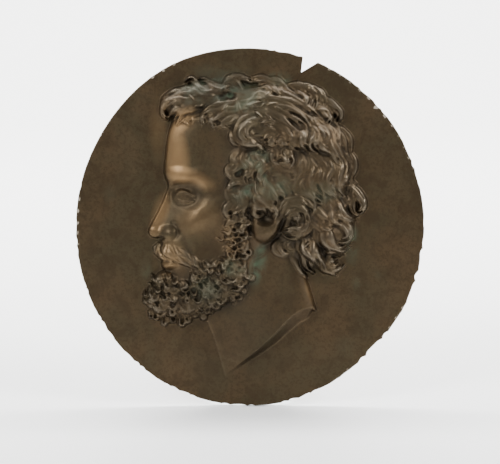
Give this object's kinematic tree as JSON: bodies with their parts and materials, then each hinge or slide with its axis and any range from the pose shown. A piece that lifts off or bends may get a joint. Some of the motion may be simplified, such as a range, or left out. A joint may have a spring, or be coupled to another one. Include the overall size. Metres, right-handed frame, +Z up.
{
  "type": "bronze portrait relief plaque on an acrylic easel",
  "caption": "Round cast bronze plaque with the head of a bearded, curly-haired man in profile, nicked at the rim, leaning on a clear acrylic display easel.",
  "frame": {"origin": "the middle of the easel's footprint, on the ground", "axes": "+Z up, -Y the way the relief faces, +X to the viewer's right; the plaque leans back 10 degrees towards +Y"},
  "size_m": [0.2166, 0.0737, 0.2196],
  "materials": {
    "bronze": "dark brown patina, rubbed golden on the high places, grey-green in the hollows",
    "acrylic": "clear, polished"
  },
  "bodies": {
    "root": {"plaque": "bronze", "stand": "acrylic"}
  },
  "joints": []
}
